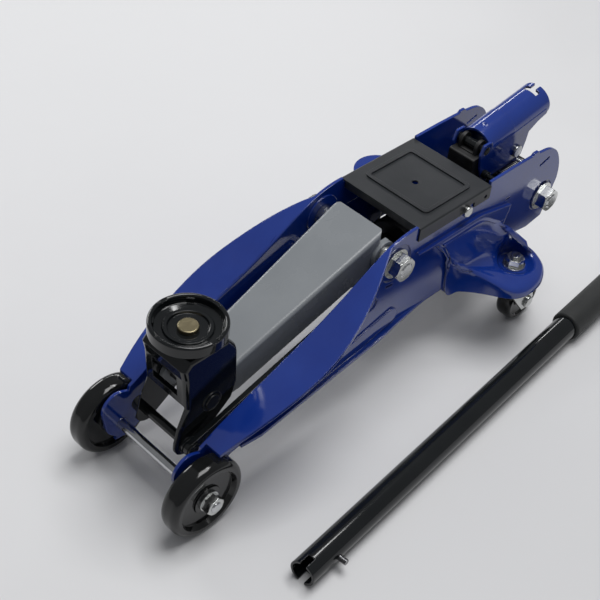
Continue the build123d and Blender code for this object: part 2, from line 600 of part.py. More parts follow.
# ---- Handle socket -----------------------------------------------------------------
socket_place = Pos(343, 0, 152.5) * Rot(0, -socket_slope, 0)
shoulder_at = 8.0
upper = along(cheek_outer, 0, 0, -22, shoulder_at) - along(cheek_inner, 0, 0, -30, shoulder_at + 1)
upper = upper - block(-40, shoulder_at + 1, -20, 20, -20, 0)
barrel = along(tube_radius, 0, 0, shoulder_at - 2, 52)
barrel = barrel - along(tube_bore, 0, 0, shoulder_at - 3, 60)
barrel = barrel - block(shoulder_at - 3, 28, -20, 20, -20, -0.5)
skin = socket_place * (upper + barrel)
cheek = rounded([(309, 150), (311, 138), (315, 128), (322, 122), (338, 124), (358, 121.5),
                 (367, 127.5), (370, 139), (371, 147), (381, 152.5), (392, 156), (391, 160.6),
                 (343, 153.4), (324, 151.4), (321, 158.4), (312, 158.4)], 1.4)
cheek = side_slab(cheek, cheek_inner, cheek_outer)
socket = skin + cheek + mirror(cheek, Plane.XZ)
t_stem = socket_place * block(44, 60, -2.5, 2.5, 5, 20)
t_bar = socket_place * block(41.5, 46.5, -6.5, 6.5, 5, 20)
socket = socket - t_stem - t_bar
socket = socket - socket_place * Pos(-14, 0, cheek_outer + 2.8) * Sphere(4)
socket = socket - across(3.5 + running, socket_x, socket_z, -30, 30)
socket = socket - across(roller_pin_radius + seat, roller_pin_x, roller_pin_z, -30, 30)
socket = socket - across(hook_radius + seat, hook_x, hook_z, -30, 0)
save("handle_socket", socket)
save("pivot_bar", across(3.5, socket_x, socket_z, -cheek_outer, cheek_outer))
push_end = cheek_outer + 0.1
push_pin = across(roller_pin_radius, roller_pin_x, roller_pin_z, -push_end - 2, push_end)
push_head = across(5.2, roller_pin_x, roller_pin_z, -push_end - 2.4, -push_end)
push_head = fillet(push_head.edges().sort_by(Axis.Y)[0], 0.8)
push_clip = ring(5.4, roller_pin_radius - 0.5, roller_pin_x, roller_pin_z, push_end - 0.1,
                 push_end + 1.2)
save("pump_pin", push_pin + push_head + push_clip)
hook = across(hook_radius, hook_x, hook_z, -spring_y - 4, -cheek_inner - 0.3)
hook = hook + across(3.4, hook_x, hook_z, -19, -cheek_outer - 0.1)
save("spring_studs", hook)
anchor = across(anchor_radius, anchor_spring_x, anchor_spring_z, -plate_inner + 0.03, 4 - spring_y)
anchor = anchor + across(anchor_radius - 0.55, anchor_spring_x, anchor_spring_z, -plate_inner - 0.95,
                         1 - plate_inner)
save("spring_anchors", anchor)

# Return spring, on the left side only: a close coil between two eyes.
eye_radius, wire = 3.4, 0.9
run_x, run_z = anchor_spring_x - hook_x, anchor_spring_z - hook_z
coil_start, coil_end = 6.0, math.hypot(run_x, run_z) - 6.0
turns = 10
pitch = (coil_end - coil_start) / turns
crest = []
for step in range(turns):
    crest.append((coil_start + pitch * (step + 0.15), spring_radius - 0.7))
    crest.append((coil_start + pitch * (step + 0.35), spring_radius))
    crest.append((coil_start + pitch * (step + 0.65), spring_radius))
    crest.append((coil_start + pitch * (step + 0.85), spring_radius - 0.7))
bore = spring_radius - 2 * wire
coil_face = Polygon((coil_start, bore), *crest, (coil_end, bore), align=None)
coil = revolve(Plane.XZ * coil_face, Axis.X)
eye = Rot(90, 0, 0) * Torus(eye_radius, wire)
shank = along(wire, 0, 0, eye_radius - 0.3, coil_start + 1)
web = Pos(coil_start + wire, 0, 0) * Rot(0, 90, 0) * Cylinder(bore + 0.2, 2 * wire)
far = Pos(coil_start + coil_end, 0, 0) * Rot(0, 180, 0)
spring = coil + eye + shank + web + far * (eye + shank + web)
spring_tilt = math.degrees(math.atan2(run_z, run_x))
spring = Pos(hook_x, -spring_y, hook_z) * Rot(0, -spring_tilt, 0) * spring
save("return_springs", spring)

# ---- Casters -----------------------------------------------------------------------
axle_x = stem_x + trail
fork_top, fork_sheet = 52.4, 2.2
leg_inner = wheel_half + 0.8
leg_outer = leg_inner + fork_sheet
leg_face = rounded([(309.5, fork_top), (337, fork_top), (349.5, 22), (346, 13.4), (337, 13),
                    (309.5, 47)], 2.0)
fork = side_slab(leg_face, stem_y - leg_outer, stem_y + leg_outer)
fork = fork - side_slab(Polygon((300, fork_top - fork_sheet), (360, fork_top - fork_sheet),
                                (360, 0), (300, 0), align=None),
                        stem_y - leg_inner, stem_y + leg_inner)
fork = fork - upright(4.0 + running, stem_x, stem_y, 40, 60)
fork = fork - across(3.0 + seat, axle_x, wheel_radius, 30, 90)
save("caster_fork_right", fork)
save("caster_fork_left", mirror(fork, Plane.XZ))
wheel_face = side_face(
    Polyline((3.0 + running, -wheel_half), (6.2, -wheel_half), (7.2, 1.8 - wheel_half),
             (14.6, 1.8 - wheel_half), (15.6, 0.4 - wheel_half), (17.6, 0.4 - wheel_half)),
    Spline((17.6, 0.4 - wheel_half), (wheel_radius - 0.4, 2.4 - wheel_half), (wheel_radius, 0),
           (wheel_radius - 0.4, wheel_half - 2.4), (17.6, wheel_half - 0.4)),
    Polyline((17.6, wheel_half - 0.4), (15.6, wheel_half - 0.4), (14.6, wheel_half - 1.8),
             (7.2, wheel_half - 1.8), (6.2, wheel_half), (3.0 + running, wheel_half),
             (3.0 + running, -wheel_half)))
wheel = revolve(Plane.XY * wheel_face, Axis.Y)
wheel = Pos(axle_x, stem_y, wheel_radius) * wheel
save("caster_wheel_right", wheel)
save("caster_wheel_left", mirror(wheel, Plane.XZ))
bolt = across(3.0, axle_x, wheel_radius, stem_y - leg_outer - 0.2, stem_y + leg_outer + 0.2)
bolt_head = across(5.2, axle_x, wheel_radius, stem_y + leg_outer + 0.1, stem_y + leg_outer + 2.3)
bolt_head = fillet(bolt_head.edges().sort_by(Axis.Y)[-1], 1.2)
bolt_tail = across(4.8, axle_x, wheel_radius, stem_y - leg_outer - 2.0, stem_y - leg_outer - 0.1)
caster_bolt = bolt + bolt_head + bolt_tail
save("caster_axle_right", caster_bolt)
save("caster_axle_left", mirror(caster_bolt, Plane.XZ))
wing_under = dish_floor - wing_sheet
race = upright(11.5, stem_x, stem_y, fork_top + 0.1, wing_under - seat)
race = race - upright(4.0 + seat, stem_x, stem_y, 40, 70)
race = race - (upright(13, stem_x, stem_y, 56.2, 57.0) - upright(10.4, stem_x, stem_y, 56, 58))
save("caster_races", both(race))
stem_top = dish_floor + m8_washer + m8_nut + 2.4
stem = upright(4.0, stem_x, stem_y, 47.0, stem_top)
stem_head = upright(6.8, stem_x, stem_y, 46.8, fork_top - fork_sheet - 0.1)
save("stem_bolts", both(stem + stem_head))
stem_washer = upright(9.0, stem_x, stem_y, dish_floor + seat, dish_floor + m8_washer)
save("stem_washers", both(stem_washer - upright(4.0 + seat, stem_x, stem_y, 60, 70)))
nut_base = dish_floor + m8_washer + seat
stem_nut = plan_slab(Pos(stem_x, stem_y) * RegularPolygon(m8_flats / 2, 6, major_radius=False),
                     nut_base, nut_base + m8_nut)
crown_round = upright(m8_flats * 0.577, stem_x, stem_y, nut_base, nut_base + m8_nut)
stem_nut = stem_nut & chamfer(crown_round.edges().sort_by(Axis.Z)[-1], 0.8)
save("stem_nuts", both(stem_nut - upright(4.0 + seat, stem_x, stem_y, 60, 80)))

# ---- Handle on the floor -----------------------------------------------------------
handle_tilt = math.degrees(math.asin((grip_radius - handle_radius) / grip_start))
handle_place = Pos(17.6, -129, handle_radius) * Rot(0, 0, 4.3) * Rot(0, -handle_tilt, 0)
pipe = along(handle_radius, 0, 0, 0, handle_length)
pipe = pipe - along(handle_radius - handle_wall, 0, 0, -1, handle_length + 1)
pipe = pipe - block(-1, 9, -2.6, 2.6, -20, 20)
pipe = pipe - Pos(27.2, 0, 0) * Rot(90, 0, 0) * Cylinder(2.2 + seat, 30)
save("handle_tube", handle_place * pipe)
stub = Pos(27.2, -3.4, 0) * Rot(90, 0, 0) * Cylinder(2.2, 25.2)
save("handle_stub", handle_place * stub)
grip = along(grip_radius, 0, 0, grip_start, handle_length + 4)
grip = fillet(grip.edges().filter_by(GeomType.CIRCLE), 2.0)
grip = grip - along(handle_radius + seat, 0, 0, grip_start - 1, handle_length + seat)
save("handle_grip", handle_place * grip)
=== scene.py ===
import json
import math

import bpy
from mathutils import Euler, Matrix, Vector


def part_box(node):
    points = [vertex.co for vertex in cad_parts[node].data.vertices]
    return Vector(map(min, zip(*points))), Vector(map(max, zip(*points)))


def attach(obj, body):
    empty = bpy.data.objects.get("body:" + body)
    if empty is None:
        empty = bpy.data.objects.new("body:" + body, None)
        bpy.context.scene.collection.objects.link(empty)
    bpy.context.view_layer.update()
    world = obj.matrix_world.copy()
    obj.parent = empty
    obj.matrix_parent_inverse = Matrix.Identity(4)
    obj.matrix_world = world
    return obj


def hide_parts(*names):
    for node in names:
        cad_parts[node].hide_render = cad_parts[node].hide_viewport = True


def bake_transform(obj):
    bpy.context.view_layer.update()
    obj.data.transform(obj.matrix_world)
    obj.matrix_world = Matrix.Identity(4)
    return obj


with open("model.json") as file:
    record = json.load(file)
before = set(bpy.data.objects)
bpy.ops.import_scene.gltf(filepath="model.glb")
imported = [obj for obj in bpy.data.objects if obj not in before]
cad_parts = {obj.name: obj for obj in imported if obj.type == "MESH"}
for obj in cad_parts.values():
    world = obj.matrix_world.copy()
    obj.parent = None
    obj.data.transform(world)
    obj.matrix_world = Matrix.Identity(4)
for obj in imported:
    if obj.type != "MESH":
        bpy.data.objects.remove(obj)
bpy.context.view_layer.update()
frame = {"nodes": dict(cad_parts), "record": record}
nodes = frame["nodes"]
mm = 0.001
print("stage: frame loaded, pieces", len(nodes))


# small helpers
def clearSelection():
    if bpy.context.object and bpy.context.object.mode != "OBJECT":
        bpy.ops.object.mode_set(mode="OBJECT")
    bpy.ops.object.select_all(action="DESELECT")


def pickOnly(obj):
    clearSelection()
    obj.select_set(True)
    bpy.context.view_layer.objects.active = obj


def settle(obj):
    # place goes into the mesh, so the object ends at the origin, unturned and unscaled
    pickOnly(obj)
    bpy.ops.object.transform_apply(location=True, rotation=True, scale=True)


def middleOf(node):
    low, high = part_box(node)
    return (Vector(low) + Vector(high)) / 2


def useModifier(obj, kind, **values):
    mod = obj.modifiers.new(kind.lower(), kind)
    for key, value in values.items():
        setattr(mod, key, value)
    pickOnly(obj)
    bpy.ops.object.modifier_apply(modifier=mod.name)


def dress(obj, material):
    obj.data.materials.clear()
    obj.data.materials.append(material)


# shader effects that several finishes share
def newGroup(name, inputs, outputs):
    group = bpy.data.node_groups.new(name, "ShaderNodeTree")
    for socketName, kind, value in inputs:
        socket = group.interface.new_socket(name=socketName, in_out="INPUT", socket_type=kind)
        if value is not None:
            socket.default_value = value
    for socketName, kind in outputs:
        group.interface.new_socket(name=socketName, in_out="OUTPUT", socket_type=kind)
    start = group.nodes.new("NodeGroupInput")
    end = group.nodes.new("NodeGroupOutput")
    return group, start, end


def addNode(tree, kind, **values):
    node = tree.nodes.new(kind)
    for key, value in values.items():
        setattr(node, key, value)
    return node


mottle = dict(scale=18.0, detail=6.0, roughness=0.62, low=0.32, high=0.68)


def makeMottleGroup():
    # slow cloudy change of tone, with a finer one in it
    group, start, end = newGroup(
        "mottle",
        [("Scale", "NodeSocketFloat", mottle["scale"]), ("Dark", "NodeSocketColor", (0, 0, 0, 1)),
         ("Light", "NodeSocketColor", (1, 1, 1, 1))],
        [("Color", "NodeSocketColor"), ("Mask", "NodeSocketFloat")])
    place = addNode(group, "ShaderNodeTexCoord")
    cloud = addNode(group, "ShaderNodeTexNoise")
    cloud.inputs["Detail"].default_value = mottle["detail"]
    cloud.inputs["Roughness"].default_value = mottle["roughness"]
    spread = addNode(group, "ShaderNodeMapRange", clamp=True)
    spread.inputs["From Min"].default_value = mottle["low"]
    spread.inputs["From Max"].default_value = mottle["high"]
    blend = addNode(group, "ShaderNodeMix", data_type="RGBA")
    link = group.links.new
    link(place.outputs["Object"], cloud.inputs["Vector"])
    link(start.outputs["Scale"], cloud.inputs["Scale"])
    link(cloud.outputs["Fac"], spread.inputs["Value"])
    link(spread.outputs["Result"], blend.inputs["Factor"])
    link(start.outputs["Dark"], blend.inputs["A"])
    link(start.outputs["Light"], blend.inputs["B"])
    link(blend.outputs["Result"], end.inputs["Color"])
    link(spread.outputs["Result"], end.inputs["Mask"])
    return group


specks = dict(scale=220.0, amount=0.12, detail=2.0, patchScale=14.0, patchDetail=3.0,
              edge=0.52, full=0.56)


def makeSpeckGroup():
    # sparse small marks: chips in paint, dust grains, pits
    group, start, end = newGroup(
        "specks",
        [("Scale", "NodeSocketFloat", specks["scale"]), ("Amount", "NodeSocketFloat", specks["amount"])],
        [("Mask", "NodeSocketFloat")])
    place = addNode(group, "ShaderNodeTexCoord")
    grains = addNode(group, "ShaderNodeTexNoise")
    grains.inputs["Detail"].default_value = specks["detail"]
    patches = addNode(group, "ShaderNodeTexNoise")
    patches.inputs["Scale"].default_value = specks["patchScale"]
    patches.inputs["Detail"].default_value = specks["patchDetail"]
    mixed = addNode(group, "ShaderNodeMath", operation="MULTIPLY")
    edge = addNode(group, "ShaderNodeMath", operation="SUBTRACT")
    edge.inputs[0].default_value = specks["edge"]
    cut = addNode(group, "ShaderNodeMapRange", clamp=True)
    cut.inputs["From Max"].default_value = specks["full"]
    link = group.links.new
    link(place.outputs["Object"], grains.inputs["Vector"])
    link(place.outputs["Object"], patches.inputs["Vector"])
    link(start.outputs["Scale"], grains.inputs["Scale"])
    link(grains.outputs["Fac"], mixed.inputs[0])
    link(patches.outputs["Fac"], mixed.inputs[1])
    link(start.outputs["Amount"], edge.inputs[1])
    link(edge.outputs[0], cut.inputs["From Min"])
    link(mixed.outputs[0], cut.inputs["Value"])
    link(cut.outputs["Result"], end.inputs["Mask"])
    return group


scuffs = dict(scale=60.0, stretch=(1.0, 14.0, 1.0), detail=4.0, roughness=0.7, low=0.45, high=0.75)


def makeScuffGroup():
    # fine hairline marks that run one way
    group, start, end = newGroup(
        "scuffs",
        [("Scale", "NodeSocketFloat", scuffs["scale"]),
         ("Stretch", "NodeSocketVector", scuffs["stretch"])],
        [("Mask", "NodeSocketFloat")])
    place = addNode(group, "ShaderNodeTexCoord")
    stretch = addNode(group, "ShaderNodeVectorMath", operation="MULTIPLY")
    lines = addNode(group, "ShaderNodeTexNoise")
    lines.inputs["Detail"].default_value = scuffs["detail"]
    lines.inputs["Roughness"].default_value = scuffs["roughness"]
    cut = addNode(group, "ShaderNodeMapRange", clamp=True)
    cut.inputs["From Min"].default_value = scuffs["low"]
    cut.inputs["From Max"].default_value = scuffs["high"]
    link = group.links.new
    link(place.outputs["Object"], stretch.inputs[0])
    link(start.outputs["Stretch"], stretch.inputs[1])
    link(stretch.outputs[0], lines.inputs["Vector"])
    link(start.outputs["Scale"], lines.inputs["Scale"])
    link(lines.outputs["Fac"], cut.inputs["Value"])
    link(cut.outputs["Result"], end.inputs["Mask"])
    return group


topDust = dict(amount=0.2, scale=42.0, detail=7.0, slope=0.35, level=1.0)


def makeTopDustGroup():
    # thin dust that settles on faces looking up
    group, start, end = newGroup(
        "topDust", [("Amount", "NodeSocketFloat", topDust["amount"])], [("Mask", "NodeSocketFloat")])
    shape = addNode(group, "ShaderNodeNewGeometry")
    split = addNode(group, "ShaderNodeSeparateXYZ")
    place = addNode(group, "ShaderNodeTexCoord")
    cloud = addNode(group, "ShaderNodeTexNoise")
    cloud.inputs["Scale"].default_value = topDust["scale"]
    cloud.inputs["Detail"].default_value = topDust["detail"]
    facing = addNode(group, "ShaderNodeMapRange", clamp=True)
    facing.inputs["From Min"].default_value = topDust["slope"]
    facing.inputs["From Max"].default_value = topDust["level"]
    joined = addNode(group, "ShaderNodeMath", operation="MULTIPLY")
    scaled = addNode(group, "ShaderNodeMath", operation="MULTIPLY")
    link = group.links.new
    link(shape.outputs["Normal"], split.inputs[0])
    link(split.outputs["Z"], facing.inputs["Value"])
    link(place.outputs["Object"], cloud.inputs["Vector"])
    link(facing.outputs["Result"], joined.inputs[0])
    link(cloud.outputs["Fac"], joined.inputs[1])
    link(joined.outputs[0], scaled.inputs[0])
    link(start.outputs["Amount"], scaled.inputs[1])
    link(scaled.outputs[0], end.inputs["Mask"])
    return group


mottleGroup = makeMottleGroup()
speckGroup = makeSpeckGroup()
scuffGroup = makeScuffGroup()
dustGroup = makeTopDustGroup()


def placeGroup(tree, group, **values):
    node = tree.nodes.new("ShaderNodeGroup")
    node.node_tree = group
    for key, value in values.items():
        node.inputs[key].default_value = value
    return node


def startMaterial(name):
    material = bpy.data.materials.new(name)
    material.use_nodes = True
    tree = material.node_tree
    shader = tree.nodes["Principled BSDF"]
    return material, tree, shader


def mixColor(tree, factor, first, second):
    blend = addNode(tree, "ShaderNodeMix", data_type="RGBA")
    tree.links.new(factor, blend.inputs["Factor"])
    for socket, value in ((blend.inputs["A"], first), (blend.inputs["B"], second)):
        if isinstance(value, tuple):
            socket.default_value = (*value, 1.0)
        else:
            tree.links.new(value, socket)
    return blend.outputs["Result"]


def mapValue(tree, source, low, high):
    spread = addNode(tree, "ShaderNodeMapRange", clamp=True)
    spread.inputs["To Min"].default_value = low
    spread.inputs["To Max"].default_value = high
    tree.links.new(source, spread.inputs["Value"])
    return spread.outputs["Result"]


def addBump(tree, shader, height, strength, depth, edge):
    # the bevel node catches light along sheet edges, under the fine bump
    bump = addNode(tree, "ShaderNodeBump")
    bump.inputs["Strength"].default_value = strength
    bump.inputs["Distance"].default_value = depth
    soft = addNode(tree, "ShaderNodeBevel", samples=4)
    soft.inputs["Radius"].default_value = edge
    tree.links.new(soft.outputs["Normal"], bump.inputs["Normal"])
    tree.links.new(height, bump.inputs["Height"])
    tree.links.new(bump.outputs["Normal"], shader.inputs["Normal"])


def noiseHeight(tree, scale, detail=2.0):
    place = addNode(tree, "ShaderNodeTexCoord")
    grain = addNode(tree, "ShaderNodeTexNoise")
    grain.inputs["Scale"].default_value = scale
    grain.inputs["Detail"].default_value = detail
    tree.links.new(place.outputs["Object"], grain.inputs["Vector"])
    return grain.outputs["Fac"]


# finishes: tones are linear, depths and edge radii in mm
enamel = {
    "blueEnamel": dict(dark=(0.002, 0.022, 0.20), light=(0.004, 0.034, 0.26), under=(0.25, 0.26, 0.28),
                       rough=(0.07, 0.12), gloss=1.78, peel=0.06, chips=0.012, dust=0.02, edge=0.9),
    "greyEnamel": dict(dark=(0.20, 0.215, 0.23), light=(0.23, 0.245, 0.26), under=(0.10, 0.10, 0.10),
                       rough=(0.24, 0.34), gloss=1.5, peel=0.10, chips=0.01, dust=0.05, edge=0.8),
    "blackEnamel": dict(dark=(0.0035, 0.0045, 0.0055), light=(0.006, 0.0075, 0.0085),
                        under=(0.16, 0.16, 0.16), rough=(0.06, 0.11), gloss=1.5, peel=0.06,
                        chips=0.02, dust=0.008, edge=0.8),
    "coverEnamel": dict(dark=(0.008, 0.010, 0.013), light=(0.012, 0.014, 0.018),
                        under=(0.16, 0.16, 0.16), rough=(0.30, 0.42), gloss=1.5, peel=0.22,
                        chips=0.008, dust=0.03, edge=0.5),
}
enamelGrain = dict(cloud=11.0, chip=260.0, peel=260.0, depth=0.15, dustTone=(0.52, 0.52, 0.53))


def enamelFinish(name):
    look = enamel[name]
    material, tree, shader = startMaterial(name)
    link = tree.links.new
    tone = placeGroup(tree, mottleGroup, Scale=enamelGrain["cloud"], Dark=(*look["dark"], 1),
                      Light=(*look["light"], 1))
    chips = placeGroup(tree, speckGroup, Scale=enamelGrain["chip"], Amount=look["chips"])
    dust = placeGroup(tree, dustGroup, Amount=look["dust"])
    worn = mixColor(tree, chips.outputs["Mask"], tone.outputs["Color"], look["under"])
    dusted = mixColor(tree, dust.outputs["Mask"], worn, enamelGrain["dustTone"])
    link(dusted, shader.inputs["Base Color"])
    link(mapValue(tree, tone.outputs["Mask"], *look["rough"]), shader.inputs["Roughness"])
    shader.inputs["IOR"].default_value = look["gloss"]
    addBump(tree, shader, noiseHeight(tree, enamelGrain["peel"]), look["peel"],
            enamelGrain["depth"] * mm, look["edge"] * mm)
    return material


plate = {
    "zincPlate": dict(dark=(0.50, 0.51, 0.50), light=(0.66, 0.67, 0.66), stain=(0.34, 0.33, 0.30),
                      rough=(0.16, 0.30), lines=(1.0, 1.0, 4.0), edge=0.5),
    "brightSteel": dict(dark=(0.50, 0.51, 0.52), light=(0.66, 0.67, 0.68), stain=(0.30, 0.28, 0.26),
                        rough=(0.14, 0.26), lines=(18.0, 1.0, 18.0), edge=0.4),
    "yellowZinc": dict(dark=(0.21, 0.18, 0.11), light=(0.33, 0.285, 0.18), stain=(0.10, 0.08, 0.05),
                       rough=(0.30, 0.46), lines=(2.0, 9.0, 2.0), edge=0.6),
    "oiledSteel": dict(dark=(0.12, 0.12, 0.125), light=(0.22, 0.22, 0.225), stain=(0.10, 0.08, 0.06),
                       rough=(0.18, 0.32), lines=(6.0, 1.0, 6.0), edge=0.2),
}
plateGrain = dict(cloud=55.0, scuff=90.0, speck=320.0, specks=0.015, bump=0.08, depth=0.05)


def platedFinish(name):
    look = plate[name]
    material, tree, shader = startMaterial(name)
    link = tree.links.new
    tone = placeGroup(tree, mottleGroup, Scale=plateGrain["cloud"], Dark=(*look["dark"], 1),
                      Light=(*look["light"], 1))
    marks = placeGroup(tree, scuffGroup, Scale=plateGrain["scuff"], Stretch=look["lines"])
    stains = placeGroup(tree, speckGroup, Scale=plateGrain["speck"], Amount=plateGrain["specks"])
    stained = mixColor(tree, stains.outputs["Mask"], tone.outputs["Color"], look["stain"])
    link(stained, shader.inputs["Base Color"])
    shader.inputs["Metallic"].default_value = 1.0
    link(mapValue(tree, marks.outputs["Mask"], *look["rough"]), shader.inputs["Roughness"])
    addBump(tree, shader, marks.outputs["Mask"], plateGrain["bump"], plateGrain["depth"] * mm,
            look["edge"] * mm)
    return material


castBlack = dict(cloud=60.0, dark=(0.004, 0.004, 0.0045), light=(0.012, 0.012, 0.013), dust=0.04,
                 dustTone=(0.30, 0.30, 0.30), rough=(0.36, 0.58), sand=700.0, sandDetail=5.0,
                 bump=0.4, depth=0.4, edge=0.5)


def castFinish():
    # sand-cast skin under thin black paint
    look = castBlack
    material, tree, shader = startMaterial("castBlack")
    link = tree.links.new
    tone = placeGroup(tree, mottleGroup, Scale=look["cloud"], Dark=(*look["dark"], 1),
                      Light=(*look["light"], 1))
    dust = placeGroup(tree, dustGroup, Amount=look["dust"])
    dusted = mixColor(tree, dust.outputs["Mask"], tone.outputs["Color"], look["dustTone"])
    link(dusted, shader.inputs["Base Color"])
    link(mapValue(tree, tone.outputs["Mask"], *look["rough"]), shader.inputs["Roughness"])
    addBump(tree, shader, noiseHeight(tree, look["sand"], look["sandDetail"]), look["bump"],
            look["depth"] * mm, look["edge"] * mm)
    return material


rollerPolymer = dict(cloud=30.0, dark=(0.0045, 0.0048, 0.005), light=(0.0075, 0.008, 0.0083),
                     grain=180.0, dust=0.02, dustShare=0.25, dustTone=(0.16, 0.155, 0.15),
                     rough=(0.08, 0.13), flow=90.0, bump=0.05, depth=0.15, edge=0.6)


def rollerFinish():
    # hard moulded polymer with a polish and a few dust grains
    look = rollerPolymer
    material, tree, shader = startMaterial("rollerPolymer")
    link = tree.links.new
    tone = placeGroup(tree, mottleGroup, Scale=look["cloud"], Dark=(*look["dark"], 1),
                      Light=(*look["light"], 1))
    dust = placeGroup(tree, speckGroup, Scale=look["grain"], Amount=look["dust"])
    share = mapValue(tree, dust.outputs["Mask"], 0.0, look["dustShare"])
    link(mixColor(tree, share, tone.outputs["Color"], look["dustTone"]), shader.inputs["Base Color"])
    link(mapValue(tree, tone.outputs["Mask"], *look["rough"]), shader.inputs["Roughness"])
    addBump(tree, shader, noiseHeight(tree, look["flow"]), look["bump"], look["depth"] * mm,
            look["edge"] * mm)
    return material


foamSleeve = dict(cloud=60.0, dark=(0.010, 0.011, 0.011), light=(0.018, 0.0195, 0.0195),
                  rough=(0.62, 0.80), sheen=0.06, cells=1500.0, cellDetail=6.0,
                  bump=0.5, depth=0.4, edge=0.5)


def foamFinish():
    # closed-cell foam, matt with a faint sheen
    look = foamSleeve
    material, tree, shader = startMaterial("foamSleeve")
    link = tree.links.new
    tone = placeGroup(tree, mottleGroup, Scale=look["cloud"], Dark=(*look["dark"], 1),
                      Light=(*look["light"], 1))
    link(tone.outputs["Color"], shader.inputs["Base Color"])
    link(mapValue(tree, tone.outputs["Mask"], *look["rough"]), shader.inputs["Roughness"])
    shader.inputs["Sheen Weight"].default_value = look["sheen"]
    addBump(tree, shader, noiseHeight(tree, look["cells"], look["cellDetail"]), look["bump"],
            look["depth"] * mm, look["edge"] * mm)
    return material


finishes = {name: enamelFinish(name) for name in enamel}
finishes.update({name: platedFinish(name) for name in plate})
finishes["castBlack"] = castFinish()
finishes["rollerPolymer"] = rollerFinish()
finishes["foamSleeve"] = foamFinish()

finishOfSlot = {
    "blue": "blueEnamel", "grey": "greyEnamel", "black": "blackEnamel", "cast": "castBlack",
    "zinc": "zincPlate", "bright": "brightSteel", "yellow_zinc": "yellowZinc",
    "roller": "rollerPolymer", "tank": "blackEnamel", "spring": "oiledSteel",
    "plug": "foamSleeve", "foam": "foamSleeve",
}
slotOfNode = {part["node"]: part["material_slot"] for part in frame["record"]["subparts"]}
for name, obj in nodes.items():
    dress(obj, finishes[finishOfSlot[slotOfNode[name]]])
dress(nodes["cover_plate"], finishes["coverEnamel"])
print("stage: finishes on the packed pieces")

# caster wing drawn out of each side plate, in mm for the left side:
# loops of points from the stem hole out to the skirt
wing = dict(
    stem=(323.0, -57.5), sheet=2.6, around=120, between=4, merge=0.02,
    cutLow=(250.0, -110.0, 40.0), cutHigh=(360.0, -41.15, 101.0),
    # the twenty stations round the stem, as turns in degrees
    angles=(100, 113, 126, 138, 148, 157, 164, 169, 174, 180,
            190, 200, 213, 230, 251, 281, 313, 343, 372, 410),
    # radius and height in the dish, the last ring with its own value at each station
    rounds=((4.1, 63.2), (10.0, 63.2), (13.2, 65.0)),
    dishRim=((14, 72), (14, 71), (14.2, 70), (14.8, 69.4), (16, 69),
             (17, 68.8), (18, 68.6), (18.5, 68.5), (18.5, 68.5), (18.5, 68.4),
             (18.5, 68.2), (18.5, 68), (18, 67.8), (17.6, 67.4), (17.2, 67.2),
             (17.2, 67.2), (16.4, 67.2), (15, 67.6), (14, 70), (14, 72)),
    # the points outside the dish: on the slope, at the crease, at the edge and at the foot of the skirt
    slope=((317.5, -45.6, 88), (311, -43.6, 88), (305, -42.9, 86), (298, -42.7, 84),
           (290, -42.7, 83), (283, -42.7, 82), (277, -42.8, 81.5), (272.5, -43, 81),
           (269.5, -43.4, 81), (269, -45, 81), (283, -52, 75.5), (291.5, -59, 71.4),
           (299, -69.5, 67.8), (305, -75.5, 66.8), (314.5, -78.8, 66.2), (327, -77.6, 66),
           (336.2, -71, 66.6), (340, -62.2, 68.6), (334.5, -55.8, 75.8), (324, -47.4, 87.8)),
    crease=((314.3, -42.3, 99.6), (303, -42.1, 106), (294, -42, 111.9), (284.5, -41.9, 115.3),
            (268, -41.9, 115.8), (251, -41.9, 115.8), (242, -41.9, 114.8), (246.5, -41.9, 107.5),
            (253.5, -41.9, 97), (260, -42.4, 87.4), (272, -46.7, 80.8), (283.5, -58.2, 73.9),
            (292.5, -71.4, 67.6), (300.3, -78.6, 65.2), (312.7, -82, 64), (327.6, -80.2, 64),
            (338.9, -73.2, 65.2), (343, -62.7, 67.8), (335.5, -56.2, 76.8), (324.4, -48.3, 89)),
    edge=((313.5, -41.2, 102), (303, -41.2, 109.2), (294, -41.2, 115.3), (284, -41.2, 118.6),
          (268, -41.2, 119), (250, -41.2, 119), (238, -41.2, 118.2), (243, -41.2, 109),
          (250, -41.2, 98), (256.5, -41.2, 88), (269, -45.5, 80), (280.3, -58.2, 72.6),
          (290, -73, 65.6), (298.8, -80.8, 62.2), (312.2, -84, 60.8), (328.2, -82, 60.8),
          (340.8, -74.4, 62), (345.4, -62.9, 65.6), (336.2, -56.7, 76.2), (324.6, -48.9, 88.9)),
    skirt=((313.5, -40.2, 101), (303, -40.2, 108), (294, -40.2, 114), (284, -40.2, 117.4),
           (268, -40.2, 117.8), (250, -40.2, 117.8), (239, -40.2, 117), (244, -40.2, 109),
           (251.5, -40.2, 97), (259.5, -40.8, 57), (269.6, -46.2, 57), (281, -59, 57),
           (290.8, -73.6, 57), (299.2, -81.4, 57), (312.4, -84.3, 57), (328.6, -82.4, 57.4),
           (341.2, -74.8, 58.6), (346, -63.2, 61.6), (336.8, -57, 73.2), (325, -49.4, 86)),
)


def smoothAt(values, place):
    # smooth closed curve through the values, with the place counted in values
    count = len(values)
    whole = math.floor(place)
    part = place - whole
    a, b, c, d = (Vector(values[(whole + step) % count]) for step in (-1, 0, 1, 2))
    return b + (c - a) * (part / 2) + (a * 2 - b * 5 + c * 4 - d) * (part ** 2 / 2) + (
        b * 3 - a - c * 3 + d) * (part ** 3 / 2)


def angleAt(place):
    angles = wing["angles"]
    count = len(angles)
    whole = math.floor(place)
    first = angles[whole % count]
    second = angles[(whole + 1) % count] + (360 if whole % count == count - 1 else 0)
    return math.radians(first + (second - first) * (place - whole))


